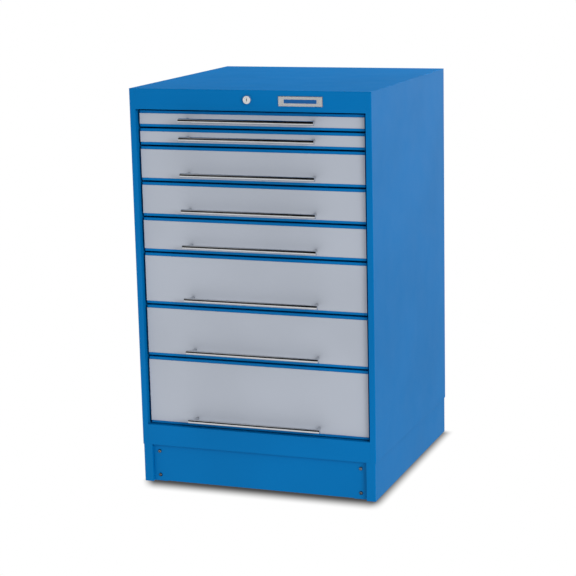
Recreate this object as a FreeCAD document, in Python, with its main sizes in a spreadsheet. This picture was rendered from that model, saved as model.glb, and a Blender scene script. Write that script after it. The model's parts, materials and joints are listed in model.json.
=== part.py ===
import FreeCAD, Part
import math
import os

import Sketcher
from FreeCAD import Placement, Rotation, Vector

# Steel drawer cabinet on a plinth, with eight drawers on single extension
# roller runners and one lock for all of them.
# Millimetres. X runs to the right, Y runs from the front to the back, Z runs up.
# Inside this file the front plane of the housing is Y = 0. Every finished piece is then
# moved by front_y, so that the part stands on the middle of its own footprint.

# Driving sizes: name, value, and what the size is.
SIZES = (
    ("cabinet_width", 700.0, "outside width of the housing"),
    ("cabinet_depth", 715.0, "front plane to back of the housing"),
    ("plinth_height", 110.0, "floor to the underside of the housing"),
    ("rail_height", 59.0, "front rail under the drawers"),
    ("header_height", 57.0, "front strip over the drawers, which holds the lock"),
    ("header_gap", 2.0, "room over the top drawer's share of the front"),
    ("slot_pitch", 25.0, "step of the slots in the uprights, and of the drawer heights"),
    ("wall", 1.5, "sheet of the housing"),
    ("bend_radius", 2.0, "outside radius of the housing's bends"),
    ("top_round", 1.2, "edge round the top"),
    ("stile_width", 16.5, "front edge of each side panel"),
    ("return_depth", 32.0, "how far the front edges fold back"),
    ("rear_flange", 16.0, "rear edge of each side panel"),
    ("top_flange", 20.0, "down turned edges of the top"),
    ("lip_height", 20.0, "upright lip behind the header and the rail"),
    ("upright_width", 40.0, "slotted upright, front to back"),
    ("upright_wall", 2.0, "sheet of the uprights"),
    ("upright_gap", 35.0, "rear upright to the back panel"),
    ("slot_width", 5.0, "slot in an upright, front to back"),
    ("slot_height", 14.0, "slot in an upright, up and down"),
    ("hook_width", 3.0, "hook of a runner channel, front to back"),
    ("hook_height", 9.0, "hook of a runner channel, up and down"),
    ("runner_space", 30.0, "upright face to the side of a drawer"),
    ("channel_wall", 1.5, "sheet of the runner channels"),
    ("channel_depth", 16.0, "runner channel, towards the drawer"),
    ("channel_lift", 8.0, "foot of a drawer's share to its channel"),
    ("channel_tail", 15.0, "channel behind its rear stop"),
    ("stop_wall", 2.0, "stop plates in the channels"),
    ("roller_diameter", 21.0, "runner rollers"),
    ("roller_width", 10.0, "runner rollers"),
    ("roller_gap", 0.3, "roller to the steel that it rolls on"),
    ("roller_inset", 2.5, "rear roller to the web of its channel"),
    ("tip_gap", 0.5, "front roller to the edge of its channel"),
    ("rail_gap", 1.0, "drawer rail to the edge of the channel"),
    ("rail_wall", 1.5, "rail on a drawer's side"),
    ("rail_web", 20.6, "upright face of the rail on a drawer's side"),
    ("pin_diameter", 8.0, "roller pins"),
    ("pin_play", 0.1, "roller bore over its pin, on the diameter"),
    ("front_roller_at", 58.0, "front plane to the front rollers"),
    ("travel", 500.0, "how far a drawer comes out"),
    ("front_gap", 5.0, "between the fronts of two drawers"),
    ("side_gap", 7.0, "drawer front to the housing's front edge"),
    ("front_recess", 12.5, "drawer face behind the front plane"),
    ("strip_height", 7.8, "painted strip over and under a face panel"),
    ("panel_wall", 1.5, "face panel"),
    ("drawer_wall", 1.2, "sheet of the drawers"),
    ("drawer_bend", 1.0, "outside radius of the front's bends"),
    ("front_fold", 14.0, "depth of a drawer front's folded edges"),
    ("box_lift", 6.0, "foot of a drawer's share to its bottom"),
    ("box_drop", 8.0, "rim of a drawer to the top of its share"),
    ("hem_height", 7.0, "hem folded out along a drawer's rim"),
    ("rear_space", 47.0, "back of a drawer to the back panel"),
    ("roller_setback", 13.0, "rear roller ahead of the back of its drawer"),
    ("handle_length", 392.0, "handle bar"),
    ("handle_diameter", 12.0, "handle bar"),
    ("handle_standoff", 32.5, "face panel to the axis of the handle bar"),
    ("handle_lift", 25.0, "foot of a drawer's share to the handle bar"),
    ("post_diameter", 9.0, "handle posts"),
    ("post_inset", 13.0, "end of the handle bar to a post"),
    ("plinth_inset", 2.0, "plinth inside the housing's outline"),
    ("plinth_wall", 2.0, "sheet of the plinth"),
    ("plinth_flange", 26.0, "front edge of the plinth's sides"),
    ("plinth_shelf", 25.0, "top flange of the plinth, under the floor"),
    ("tab_width", 40.0, "tab behind the kick panel"),
    ("kick_recess", 10.0, "kick panel behind the front plane"),
    ("kick_wall", 1.5, "sheet of the kick panel"),
    ("kick_gap", 2.0, "kick panel to the floor, and to the housing"),
    ("kick_fold", 12.0, "folded edges of the kick panel"),
    ("side_play", 0.3, "kick panel to the plinth's front edges"),
    ("screw_inset", 19.0, "plinth's front edge to the kick panel's screws"),
    ("screw_low", 18.5, "floor to the lower screws"),
    ("screw_high", 89.0, "floor to the upper screws"),
    ("screw_diameter", 6.0, "kick panel screws"),
    ("screw_length", 12.0, "kick panel screws, under the head"),
    ("screw_head", 10.5, "kick panel screws, across the head"),
    ("screw_head_height", 3.3, "kick panel screws"),
    ("hex_key", 4.0, "socket in a screw head, across its flats"),
    ("hex_depth", 2.0, "socket in a screw head"),
    ("screw_play", 0.4, "hole in the kick panel over its screw"),
    ("thread_play", 0.1, "threaded hole over its screw"),
    ("lock_face", 22.0, "collar of the lock, across"),
    ("lock_reach", 6.0, "collar of the lock, ahead of the front plane"),
    ("lock_raise", 2.4, "lock over the middle of the header"),
    ("lock_chamfer", 1.2, "edge of the lock's collar"),
    ("barrel_diameter", 19.0, "barrel of the lock"),
    ("barrel_length", 22.0, "barrel of the lock, behind the front plane"),
    ("barrel_play", 0.2, "hole in the header over the barrel"),
    ("plug_diameter", 14.0, "plug of the lock"),
    ("plug_play", 0.1, "barrel's bore over the plug"),
    ("plug_recess", 0.5, "plug behind the collar's face"),
    ("plug_end", 8.0, "square end of the plug"),
    ("key_width", 2.4, "keyhole"),
    ("key_height", 8.0, "keyhole"),
    ("key_depth", 12.0, "keyhole"),
    ("nut_size", 26.0, "lock nut across its flats"),
    ("nut_height", 5.0, "lock nut"),
    ("cam_wall", 2.0, "cam on the plug"),
    ("cam_radius", 12.0, "cam on the plug"),
    ("cam_throw", 8.0, "plug's axis to the cam's pin"),
    ("cam_pin", 5.0, "pin on the cam"),
    ("bar_wall", 2.0, "sheet of the lock bar"),
    ("slide_gap", 0.3, "lock bar to what it slides along"),
    ("slot_play", 0.8, "slots in the lock bar over their pins"),
    ("bar_side_gap", 2.5, "lock bar to the side panel"),
    ("bar_edge", 5.0, "steel left round the slots of the lock bar"),
    ("tooth_height", 12.0, "tooth of the lock bar"),
    ("tooth_lift", 13.0, "foot of a drawer's share to its tooth"),
    ("lock_play", 1.0, "tooth to the lug that it holds"),
    ("lug_wall", 3.0, "lug on a drawer's rail"),
    ("guide_diameter", 6.0, "shoulder screws of the lock bar"),
    ("guide_head", 10.0, "shoulder screws, across the head"),
    ("guide_head_height", 3.0, "shoulder screws"),
    ("guide_inner", 120.0, "middle to the inner guide screw"),
    ("guide_outer", 70.0, "upright of the lock bar to the outer guide screw"),
    ("foot_guide", 25.0, "upright of the lock bar to the guide screw at its foot"),
    ("foot_reach", 15.0, "guide screw to the end of the lock bar's foot"),
    ("badge_at", 152.0, "middle to the badge"),
    ("badge_width", 126.0, "badge frame"),
    ("badge_height", 27.5, "badge frame"),
    ("badge_wall", 2.5, "badge frame"),
    ("badge_chamfer", 1.2, "bright edge of the badge frame"),
    ("insert_width", 93.0, "strip in the badge frame"),
    ("insert_height", 10.6, "strip in the badge frame"),
    ("insert_wall", 0.6, "strip in the badge frame"),
    ("insert_recess", 0.8, "seat of the strip in the badge frame"),
)

# Heights of the eight drawer fronts, from the top down, in steps of the slot pitch
DRAWER_STEPS = (2, 2, 4, 4, 4, 6, 6, 8)

# The cam's pin swings evenly to both sides of the top, a quarter turn in all
PIN_SIDE = math.sqrt(0.5)

RIGHT = 1
LEFT = -1

doc = FreeCAD.newDocument("drawer_cabinet")
sheet = doc.addObject("Spreadsheet::Sheet", "Sizes")
nodes = []


class Size:
    """A length in millimetres, with the sheet formula that gives it."""

    def __init__(self, value, formula):
        self.value = value
        self.formula = formula

    def join(self, other, sign, value):
        return Size(value, f"({self.formula} {sign} {other.formula})")

    def __add__(self, other):
        other = as_size(other)
        return self.join(other, "+", self.value + other.value)

    def __radd__(self, other):
        return as_size(other) + self

    def __sub__(self, other):
        other = as_size(other)
        return self.join(other, "-", self.value - other.value)

    def __rsub__(self, other):
        return as_size(other) - self

    def __mul__(self, other):
        other = as_size(other)
        return self.join(other, "*", self.value * other.value)

    def __rmul__(self, other):
        return as_size(other) * self

    def __truediv__(self, other):
        other = as_size(other)
        return self.join(other, "/", self.value / other.value)

    def __neg__(self):
        return as_size(-1) * self


def as_size(number):
    """A plain number as a size, or a size as it is."""
    if isinstance(number, Size):
        return number
    return Size(float(number), f"{number:.9g}")


class Sheet:
    """The driving sizes by name, each tied to its cell."""

    def __init__(self, table):
        for row, (name, value, meaning) in enumerate(table, start=1):
            sheet.set(f"A{row}", name)
            sheet.set(f"B{row}", str(value))
            sheet.set(f"C{row}", meaning)
            sheet.setAlias(f"B{row}", name)
            setattr(self, name, Size(value, f"Sizes.{name}"))


size = Sheet(SIZES)
doc.recompute()

# Places that several pieces share
half_width = size.cabinet_width / 2
stile_inside = half_width - size.stile_width
upright_face = stile_inside + size.wall
back_inside = size.cabinet_depth - 2 * size.wall
housing_floor = size.plinth_height + size.wall
stack_bottom = size.plinth_height + size.rail_height
stack_top = stack_bottom + sum(DRAWER_STEPS) * size.slot_pitch
header_bottom = stack_top + size.header_gap
cabinet_top = header_bottom + size.header_height
header_middle = cabinet_top - size.header_height / 2
lock_axis_z = header_middle + size.lock_raise

# The housing's front plane, once the part stands on the middle of its footprint
handle_axis_y = size.front_recess - size.handle_standoff
handle_reach = size.handle_diameter / 2 - handle_axis_y
front_y = (handle_reach - size.cabinet_depth) / 2

# Runners, across the cabinet
channel_inside = upright_face - size.channel_wall
channel_tip = upright_face - size.channel_depth
box_side = upright_face - size.runner_space
rail_tip = channel_tip - size.rail_gap
rail_face = box_side + size.rail_wall
rear_roller_out = channel_inside - size.roller_inset
rear_roller_in = rear_roller_out - size.roller_width
front_roller_out = channel_tip - size.tip_gap
front_roller_in = front_roller_out - size.roller_width

# Runners, up and down from the foot of a drawer's share
channel_track = size.channel_lift + size.channel_wall
roller_axis_z = channel_track + size.roller_gap + size.roller_diameter / 2
rail_under = roller_axis_z + size.roller_diameter / 2 + size.roller_gap
rail_top = rail_under + size.rail_wall
channel_top = rail_under + size.channel_wall

# Runners, front to back
bar_front = size.return_depth + size.slide_gap
bar_rear = bar_front + size.bar_wall
rail_front = bar_rear + size.lock_play
box_rear = back_inside - size.rear_space
rear_roller_at = box_rear - size.roller_setback
rear_stop = rear_roller_at + size.roller_diameter / 2 + size.roller_gap
front_stop = rear_roller_at - size.travel - size.roller_diameter / 2 - size.roller_gap
channel_rear = rear_stop + size.stop_wall + size.channel_tail
front_upright_at = rail_front + size.bar_edge
rear_upright_at = back_inside - size.upright_gap - size.upright_width

# The lock bar slides as far as the cam's pin swings
lock_travel = 2 * PIN_SIDE * size.cam_throw
bar_inside = rail_tip + lock_travel + size.slide_gap
outer_guide_x = bar_inside - size.guide_outer
foot_guide_x = bar_inside - size.foot_guide
foot_end = foot_guide_x - size.foot_reach
bar_outside = half_width - size.wall - size.bar_side_gap


def bind(thing, prop, length):
    """Tie one property of an object to a size."""
    thing.setExpression(prop, as_size(length).formula)


def move_to(thing, x, y, z):
    """Put an object's origin at a place, each way tied to its size."""
    thing.Placement.Base = Vector(*(as_size(way).value for way in (x, y, z)))
    for axis, way in zip("xyz", (x, y, z)):
        bind(thing, f".Placement.Base.{axis}", way)


def start_piece(name):
    """An empty body with its own origin planes."""
    piece = doc.addObject("PartDesign::Body", name)
    piece.Label = name
    return piece


def finish_piece(thing, z=0):
    """Count an object as one of the finished sub-parts, and put it in the part's frame."""
    move_to(thing, 0, front_y, z)
    nodes.append(thing)
    return thing


def new_sketch(piece, plane, x=0, y=0, z=0):
    """A sketch on one of the body's origin planes, moved in the plane's own directions."""
    sketch = piece.newObject("Sketcher::SketchObject", f"{piece.Name}_sketch")
    support = [item for item in piece.Origin.OriginFeatures if item.Role == f"{plane}_Plane"]
    sketch.AttachmentSupport = [(support[0], "")]
    sketch.MapMode = "FlatFace"
    for axis, way in zip("xyz", (x, y, z)):
        bind(sketch, f".AttachmentOffset.Base.{axis}", way)
    return sketch


def add_outline(sketch, points):
    """A closed outline of straight edges, each corner held by two sizes."""
    first = sketch.GeometryCount
    corners = [(as_size(x), as_size(y)) for x, y in points]
    count = len(corners)
    spots = [Vector(x.value, y.value, 0) for x, y in corners]
    for here in range(count):
        sketch.addGeometry(Part.LineSegment(spots[here], spots[(here + 1) % count]), False)
    for here in range(count):
        after = first + (here + 1) % count
        sketch.addConstraint(Sketcher.Constraint("Coincident", first + here, 2, after, 1))
    for here, (x, y) in enumerate(corners):
        for kind, length in (("DistanceX", x), ("DistanceY", y)):
            rule = Sketcher.Constraint(kind, -1, 1, first + here, 1, length.value)
            bind(sketch, f"Constraints[{sketch.addConstraint(rule)}]", length)


def add_circle(sketch, x, y, diameter):
    """A circle, held by its centre and its diameter."""
    x, y, diameter = as_size(x), as_size(y), as_size(diameter)
    spot = Vector(x.value, y.value, 0)
    ring = sketch.addGeometry(Part.Circle(spot, Vector(0, 0, 1), diameter.value / 2), False)
    for kind, length in (("DistanceX", x), ("DistanceY", y)):
        rule = Sketcher.Constraint(kind, -1, 1, ring, 3, length.value)
        bind(sketch, f"Constraints[{sketch.addConstraint(rule)}]", length)
    rule = Sketcher.Constraint("Diameter", ring, diameter.value)
    bind(sketch, f"Constraints[{sketch.addConstraint(rule)}]", diameter)


def rectangle(left, bottom, right, top):
    """The four corners of a rectangle."""
    return ((left, bottom), (right, bottom), (right, top), (left, top))


def extrude(piece, kind, plane, outlines, circles, start, end):
    """Carry outlines and circles from one distance to another, square to their plane."""
    # The XZ plane looks forwards, so distances to the back are negative on its own normal
    backwards = plane == "XZ"
    sketch = new_sketch(piece, plane, z=-as_size(start) if backwards else start)
    for points in outlines:
        add_outline(sketch, points)
    for x, y, diameter in circles:
        add_circle(sketch, x, y, diameter)
    feature = piece.newObject(f"PartDesign::{kind}", f"{piece.Name}_{kind.lower()}")
    feature.Profile = sketch
    feature.Reversed = backwards if kind == "Pad" else not backwards
    bind(feature, "Length", as_size(end) - start)
    return feature


def add_sheet(piece, plane, outlines, start, end, circles=()):
    """Add steel between two distances."""
    return extrude(piece, "Pad", plane, outlines, circles, start, end)


def cut_away(piece, plane, start, end, outlines=(), circles=()):
    """Take steel away between two distances."""
    return extrude(piece, "Pocket", plane, outlines, circles, start, end)


def turn_profile(piece, points, axis="H_Axis", y=0, z=0):
    """Turn an outline of (along, radius) points about an axis through a place."""
    sketch = new_sketch(piece, "XY", y=y, z=z)
    add_outline(sketch, points)
    feature = piece.newObject("PartDesign::Revolution", f"{piece.Name}_turned")
    feature.Profile = sketch
    feature.ReferenceAxis = (sketch, [axis])
    feature.Angle = 360
    return feature


def straight_edges(piece, along, wanted):
    """Names of the tip's edges that run along one axis and pass a test at both ends."""
    names = []
    for number, edge in enumerate(piece.Tip.Shape.Edges, start=1):
        ends = [vertex.Point for vertex in edge.Vertexes]
        if len(ends) != 2 or edge.Curve.TypeId != "Part::GeomLine":
            continue
        run = ends[1] - ends[0]
        lengths = {"x": abs(run.x), "y": abs(run.y), "z": abs(run.z)}
        if max(lengths, key=lengths.get) in along and all(wanted(end) for end in ends):
            names.append(f"Edge{number}")
    return names


def round_rims(piece, diameter, wanted):
    """Names of the tip's whole circles of one diameter that pass a test."""
    names = []
    for number, edge in enumerate(piece.Tip.Shape.Edges, start=1):
        if len(edge.Vertexes) != 1 or edge.Curve.TypeId != "Part::GeomCircle":
            continue
        if near(2 * edge.Curve.Radius, diameter) and wanted(edge.Curve.Center):
            names.append(f"Edge{number}")
    return names


def near(value, length):
    """Whether a coordinate is at a size."""
    return abs(value - as_size(length).value) < 0.001


def round_edges(piece, radius, names):
    """Round some edges of the tip."""
    tip = piece.Tip
    feature = piece.newObject("PartDesign::Fillet", f"{piece.Name}_fillet")
    feature.Base = (tip, names)
    bind(feature, "Radius", radius)
    return feature


def bevel_edges(piece, width, names):
    """Bevel some edges of the tip."""
    tip = piece.Tip
    feature = piece.newObject("PartDesign::Chamfer", f"{piece.Name}_chamfer")
    feature.Base = (tip, names)
    bind(feature, "Size", width)
    return feature


def group(name, copies):
    """One sub-part of separate solids: each copy is (master, x, y, z, turn about Z)."""
    links = []
    for number, (master, x, y, z, turn) in enumerate(copies, start=1):
        link = doc.addObject("App::Link", f"{name}_{number}")
        link.LinkedObject = master
        link.Placement = Placement(Vector(), Rotation(Vector(0, 0, 1), turn))
        move_to(link, x, y, z)
        links.append(link)
    bundle = doc.addObject("Part::Compound", name)
    bundle.Label = name
    bundle.Links = links
    return bundle


def mirror_across_middle(master):
    """The left hand twin of a right hand piece."""
    twin = doc.addObject("Part::Mirroring", f"{master.Name}_twin")
    twin.Source = master
    twin.Normal = Vector(1, 0, 0)
    return twin


# Housing
def make_side_panel(name, side):
    """One sheet: a wall, its front stile folded back, and its rear flange."""
    piece = start_piece(name)
    outline = (
        (stile_inside, 0),
        (half_width, 0),
        (half_width, size.cabinet_depth),
        (half_width - size.rear_flange, size.cabinet_depth),
        (half_width - size.rear_flange, size.cabinet_depth - size.wall),
        (half_width - size.wall, size.cabinet_depth - size.wall),
        (half_width - size.wall, size.wall),
        (upright_face, size.wall),
        (upright_face, size.return_depth),
        (stile_inside, size.return_depth),
    )
    points = [(side * as_size(x), y) for x, y in outline]
    add_sheet(piece, "XY", [points], size.plinth_height, cabinet_top - size.wall)

    doc.recompute()
    bends = straight_edges(piece, "z", lambda end: near(abs(end.x), half_width))
    round_edges(piece, size.bend_radius, bends)
    return finish_piece(piece)


def make_top_panel():
    """A flat top over both sides, with a flange down inside each of them."""
    piece = start_piece("top_panel")
    under = cabinet_top - size.wall
    plate = rectangle(-half_width, 0, half_width, size.cabinet_depth)
    add_sheet(piece, "XY", [plate], under, cabinet_top)
    inner = half_width - 2 * size.wall
    outer = half_width - size.wall
    for near_x, far_x in ((inner, outer), (-outer, -inner)):
        flange = rectangle(near_x, under - size.top_flange, far_x, under)
        add_sheet(piece, "XZ", [flange], size.return_depth, back_inside - size.wall)

    doc.recompute()
    rim = straight_edges(piece, "xy", lambda end: near(end.z, cabinet_top))
    round_edges(piece, size.top_round, rim)
    return finish_piece(piece)


def make_header_fascia():
    """A folded strip over the drawers, open at the back, with a hole for the lock."""
    piece = start_piece("header_fascia")
    top = cabinet_top - size.wall
    lip_front = size.return_depth - size.wall
    section = (
        (0, header_bottom),
        (size.return_depth, header_bottom),
        (size.return_depth, header_bottom + size.lip_height),
        (lip_front, header_bottom + size.lip_height),
        (lip_front, header_bottom + size.wall),
        (size.wall, header_bottom + size.wall),
        (size.wall, top - size.wall),
        (size.lip_height, top - size.wall),
        (size.lip_height, top),
        (0, top),
    )
    add_sheet(piece, "YZ", [section], -stile_inside, stile_inside)
    hole = size.barrel_diameter + size.barrel_play
    cut_away(piece, "XZ", 0, size.wall, circles=[(0, lock_axis_z, hole)])
    threads = size.guide_diameter + size.thread_play
    spots = [(x, upper_guide_z, threads) for x in (size.guide_inner, outer_guide_x)]
    cut_away(piece, "XZ", lip_front, size.return_depth, circles=spots)
    return finish_piece(piece)


def make_bottom_rail():
    """A folded strip under the drawers, open at the back."""
    piece = start_piece("bottom_rail")
    lip_front = size.return_depth - size.wall
    section = (
        (0, size.plinth_height),
        (size.return_depth, size.plinth_height),
        (size.return_depth, size.plinth_height + size.wall),
        (size.wall, size.plinth_height + size.wall),
        (size.wall, stack_bottom - size.wall),
        (lip_front, stack_bottom - size.wall),
        (lip_front, stack_bottom - size.lip_height),
        (size.return_depth, stack_bottom - size.lip_height),
        (size.return_depth, stack_bottom),
        (0, stack_bottom),
    )
    add_sheet(piece, "YZ", [section], -stile_inside, stile_inside)
    threads = size.guide_diameter + size.thread_play
    spot = (foot_guide_x, foot_guide_z, threads)
    cut_away(piece, "XZ", lip_front, size.return_depth, circles=[spot])
    return finish_piece(piece)


def make_floor_panel():
    """The flat bottom of the housing, which the uprights stand on."""
    piece = start_piece("floor_panel")
    inner = half_width - size.wall
    plate = rectangle(-inner, size.return_depth, inner, size.cabinet_depth - size.wall)
    add_sheet(piece, "XY", [plate], size.plinth_height, housing_floor)
    return finish_piece(piece)


def make_back_panel():
    """The back, held inside the rear flanges of the sides."""
    piece = start_piece("back_panel")
    inner = half_width - size.wall
    plate = rectangle(-inner, housing_floor, inner, cabinet_top - size.wall)
    add_sheet(piece, "XZ", [plate], back_inside, size.cabinet_depth - size.wall)
    return finish_piece(piece)


def make_uprights():
    """Four slotted columns in the corners, which the runner channels hook into."""
    piece = start_piece("upright")
    depth = half_width - size.wall - upright_face
    half = size.upright_width / 2
    inner = half - size.upright_wall
    channel = (
        (0, -half),
        (depth, -half),
        (depth, -inner),
        (size.upright_wall, -inner),
        (size.upright_wall, inner),
        (depth, inner),
        (depth, half),
        (0, half),
    )
    add_sheet(piece, "XY", [channel], 0, stack_top - housing_floor)
    half_slot = size.slot_width / 2
    low = stack_bottom - housing_floor + size.slot_pitch / 2 - size.slot_height / 2
    slot = rectangle(-half_slot, low, half_slot, low + size.slot_height)
    first = cut_away(piece, "YZ", 0, size.upright_wall, outlines=[slot])
    row = piece.newObject("PartDesign::LinearPattern", "upright_slots")
    row.Originals = [first]
    row.Direction = (first.Profile[0], ["V_Axis"])
    count = sum(DRAWER_STEPS)
    row.Occurrences = count
    bind(row, "Length", size.slot_pitch * (count - 1))
    piece.Tip = row
    copies = []
    for y in (front_upright_at + half, rear_upright_at + half):
        copies.append((piece, upright_face, y, housing_floor, 0))
        copies.append((piece, -upright_face, y, housing_floor, 180))
    return finish_piece(group("uprights", copies))


# Runners
def pin_profile(root, end):
    """A plain roller pin across the cabinet: (place, radius), closed along the axis."""
    radius = size.pin_diameter / 2
    return ((root, 0), (root, radius), (end, radius), (end, 0))


def make_runner_channels():
    """A pair of channels for each drawer, with the front roller's pin and two stops."""
    piece = start_piece("runner_channel")
    section = (
        (upright_face, size.channel_lift),
        (upright_face, channel_top),
        (channel_tip, channel_top),
        (channel_tip, channel_top - size.channel_wall),
        (channel_inside, channel_top - size.channel_wall),
        (channel_inside, channel_track),
        (channel_tip, channel_track),
        (channel_tip, size.channel_lift),
    )
    add_sheet(piece, "XZ", [section], rail_front, channel_rear)
    stop = rectangle(rear_roller_in, channel_track, channel_inside, rail_under)
    add_sheet(piece, "XZ", [stop], front_stop - size.stop_wall, front_stop)
    add_sheet(piece, "XZ", [stop], rear_stop, rear_stop + size.stop_wall)
    turn_profile(
        piece,
        pin_profile(channel_inside, front_roller_in - size.slide_gap),
        y=size.front_roller_at,
        z=roller_axis_z,
    )
    hook_foot = size.slot_pitch / 2 - size.slot_height / 2 + size.slide_gap
    hook_out = upright_face + size.upright_wall + size.channel_wall
    hook = rectangle(upright_face, hook_foot, hook_out, hook_foot + size.hook_height)
    half_hook = size.hook_width / 2
    for upright_at in (front_upright_at, rear_upright_at):
        middle = upright_at + size.upright_width / 2
        add_sheet(piece, "XZ", [hook], middle - half_hook, middle + half_hook)
    twin = mirror_across_middle(piece)
    copies = []
    for foot in drawer_feet:
        copies.append((piece, 0, 0, foot, 0))
        copies.append((twin, 0, 0, foot, 0))
    return finish_piece(group("runner_channels", copies))


def make_roller():
    """One roller on the X axis, bored for its pin."""
    piece = start_piece("roller")
    half = size.roller_width / 2
    bore = (size.pin_diameter + size.pin_play) / 2
    rim = size.roller_diameter / 2
    section = ((-half, bore), (half, bore), (half, rim), (-half, rim))
    turn_profile(piece, section)
    return piece


def make_rollers(name, roller, inside, y, z):
    """The two rollers of one drawer that turn on the same axis line."""
    middle = inside + size.roller_width / 2
    pair = [(roller, side * middle, y, z, 0) for side in (LEFT, RIGHT)]
    return finish_piece(group(name, pair))


# Drawers
def make_drawer_front(number, height):
    """The front of a drawer: a shallow pan with all four edges folded back."""
    piece = start_piece(f"drawer_front_{number}")
    face = size.front_recess + size.panel_wall
    behind = face + size.drawer_wall
    half = stile_inside - size.side_gap
    low = size.front_gap / 2
    high = height - low
    front = rectangle(-half, low, half, high)
    hollow = rectangle(
        size.drawer_wall - half,
        low + size.drawer_wall,
        half - size.drawer_wall,
        high - size.drawer_wall,
    )
    add_sheet(piece, "XZ", [front], face, behind)
    add_sheet(piece, "XZ", [front, hollow], behind, face + size.front_fold)
    doc.recompute()
    rim = straight_edges(piece, "xz", lambda end: near(end.y, face))
    round_edges(piece, size.drawer_bend, rim)
    return piece


def make_drawer_tray(number, height):
    """Bottom, sides and back of a drawer, with a hem folded out along the sides' rims."""
    piece = start_piece(f"drawer_tray_{number}")
    rim = height - size.box_drop
    behind = size.front_recess + size.panel_wall + size.drawer_wall
    inner = box_side - size.drawer_wall
    bottom = size.box_lift + size.drawer_wall
    hem_out = box_side + size.drawer_wall
    hem_low = rim - size.hem_height
    right_half = [
        (box_side, size.box_lift),
        (box_side, hem_low),
        (hem_out, hem_low),
        (hem_out, rim),
        (inner, rim),
        (inner, bottom),
    ]
    tray = right_half + [(-x, z) for x, z in reversed(right_half)]
    add_sheet(piece, "XZ", [tray], behind, box_rear)
    rear_wall = rectangle(-inner, bottom, inner, rim)
    add_sheet(piece, "XZ", [rear_wall], box_rear - size.drawer_wall, box_rear)
    return piece


def make_drawer_rail(name, has_lug):
    """The rail welded to a drawer's side, with the rear roller's pin; the right one has a lug."""
    piece = start_piece(name)
    section = (
        (box_side, rail_top - size.rail_web),
        (rail_face, rail_top - size.rail_web),
        (rail_face, rail_under),
        (rail_tip, rail_under),
        (rail_tip, rail_top),
        (box_side, rail_top),
    )
    add_sheet(piece, "XZ", [section], rail_front, box_rear)
    if has_lug:
        high = size.tooth_lift + size.tooth_height
        lug = rectangle(rail_face, size.tooth_lift, rail_tip, high)
        add_sheet(piece, "XZ", [lug], rail_front, rail_front + size.lug_wall)
    profile = pin_profile(box_side, rear_roller_out + size.slide_gap)
    turn_profile(piece, profile, y=rear_roller_at, z=roller_axis_z)
    return piece


def make_drawer_box(number, foot, height, rails):
    """The welded body of one drawer: its front, its tray and its two rails."""
    parts = [make_drawer_front(number, height), make_drawer_tray(number, height), *rails]
    copies = [(part, 0, 0, 0, 0) for part in parts]
    return finish_piece(group(f"drawer_box_{number}", copies), z=foot)


def make_face_panel(number, foot, height):
    """The plain panel on a drawer's front, with a painted strip left over and under it."""
    piece = start_piece(f"drawer_panel_{number}")
    half = stile_inside - size.side_gap
    margin = size.front_gap / 2 + size.strip_height
    panel = rectangle(-half, margin, half, height - margin)
    add_sheet(piece, "XZ", [panel], size.front_recess, size.front_recess + size.panel_wall)
    return finish_piece(piece, z=foot)


def make_handle_master():
    """A round bar on the X axis with two posts that reach back from it."""
    piece = start_piece("handle")
    half = size.handle_length / 2
    add_sheet(piece, "YZ", [], -half, half, circles=[(0, 0, size.handle_diameter)])
    reach = half - size.post_inset
    posts = [(side * reach, 0, size.post_diameter) for side in (LEFT, RIGHT)]
    add_sheet(piece, "XZ", [], 0, size.handle_standoff, circles=posts)
    return piece


def make_handle(number, foot, handle):
    """The handle of one drawer."""
    copies = [(handle, 0, handle_axis_y, foot + size.handle_lift, 0)]
    return finish_piece(group(f"drawer_handle_{number}", copies))


# Plinth
def make_plinth_frame():
    """One folded strip: tabs, front edges, sides and back, with a shelf on each side."""
    piece = start_piece("plinth_frame")
    thick = size.plinth_wall
    outer = half_width - size.plinth_inset
    rear = size.cabinet_depth - size.plinth_inset
    edge = outer - size.plinth_flange
    tab_end = edge - size.tab_width
    tab_front = size.kick_recess + size.kick_wall
    outside = [(tab_end, tab_front), (edge, tab_front), (edge, 0), (outer, 0), (outer, rear)]
    inside = [
        (outer - thick, rear - thick),
        (outer - thick, thick),
        (edge + thick, thick),
        (edge + thick, tab_front + thick),
        (tab_end, tab_front + thick),
    ]
    points = outside + [(-x, y) for x, y in reversed(outside)]
    points += [(-x, y) for x, y in reversed(inside)] + inside
    add_sheet(piece, "XY", [points], 0, size.plinth_height)
    for side in (LEFT, RIGHT):
        shelf = rectangle(
            side * (outer - thick - size.plinth_shelf),
            tab_front + 2 * size.kick_fold,
            side * (outer - thick / 2),
            rear - thick / 2,
        )
        add_sheet(piece, "XY", [shelf], size.plinth_height - thick, size.plinth_height)
    holes = [(x, z, size.screw_diameter + size.thread_play) for x, z in kick_screw_spots]
    cut_away(piece, "XZ", tab_front, tab_front + thick, circles=holes)

    doc.recompute()
    bends = straight_edges(piece, "z", lambda end: near(abs(end.x), outer))
    round_edges(piece, size.bend_radius, bends)
    return finish_piece(piece)


def make_kick_panel():
    """The screwed panel at the front of the plinth, folded back along top and bottom."""
    piece = start_piece("kick_panel")
    half = half_width - size.plinth_inset - size.plinth_flange - size.side_play
    low = size.kick_gap
    high = size.plinth_height - size.kick_gap
    front = size.kick_recess
    back = front + size.kick_wall
    add_sheet(piece, "XZ", [rectangle(-half, low, half, high)], front, back)
    fold = half - size.tab_width - size.side_play
    for edge_low, edge_high in ((low, low + size.kick_wall), (high - size.kick_wall, high)):
        strip = rectangle(-fold, edge_low, fold, edge_high)
        add_sheet(piece, "XZ", [strip], back, back + size.kick_fold)
    holes = [(x, z, size.screw_diameter + size.screw_play) for x, z in kick_screw_spots]
    cut_away(piece, "XZ", front, back, circles=holes)
    return finish_piece(piece)


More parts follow.
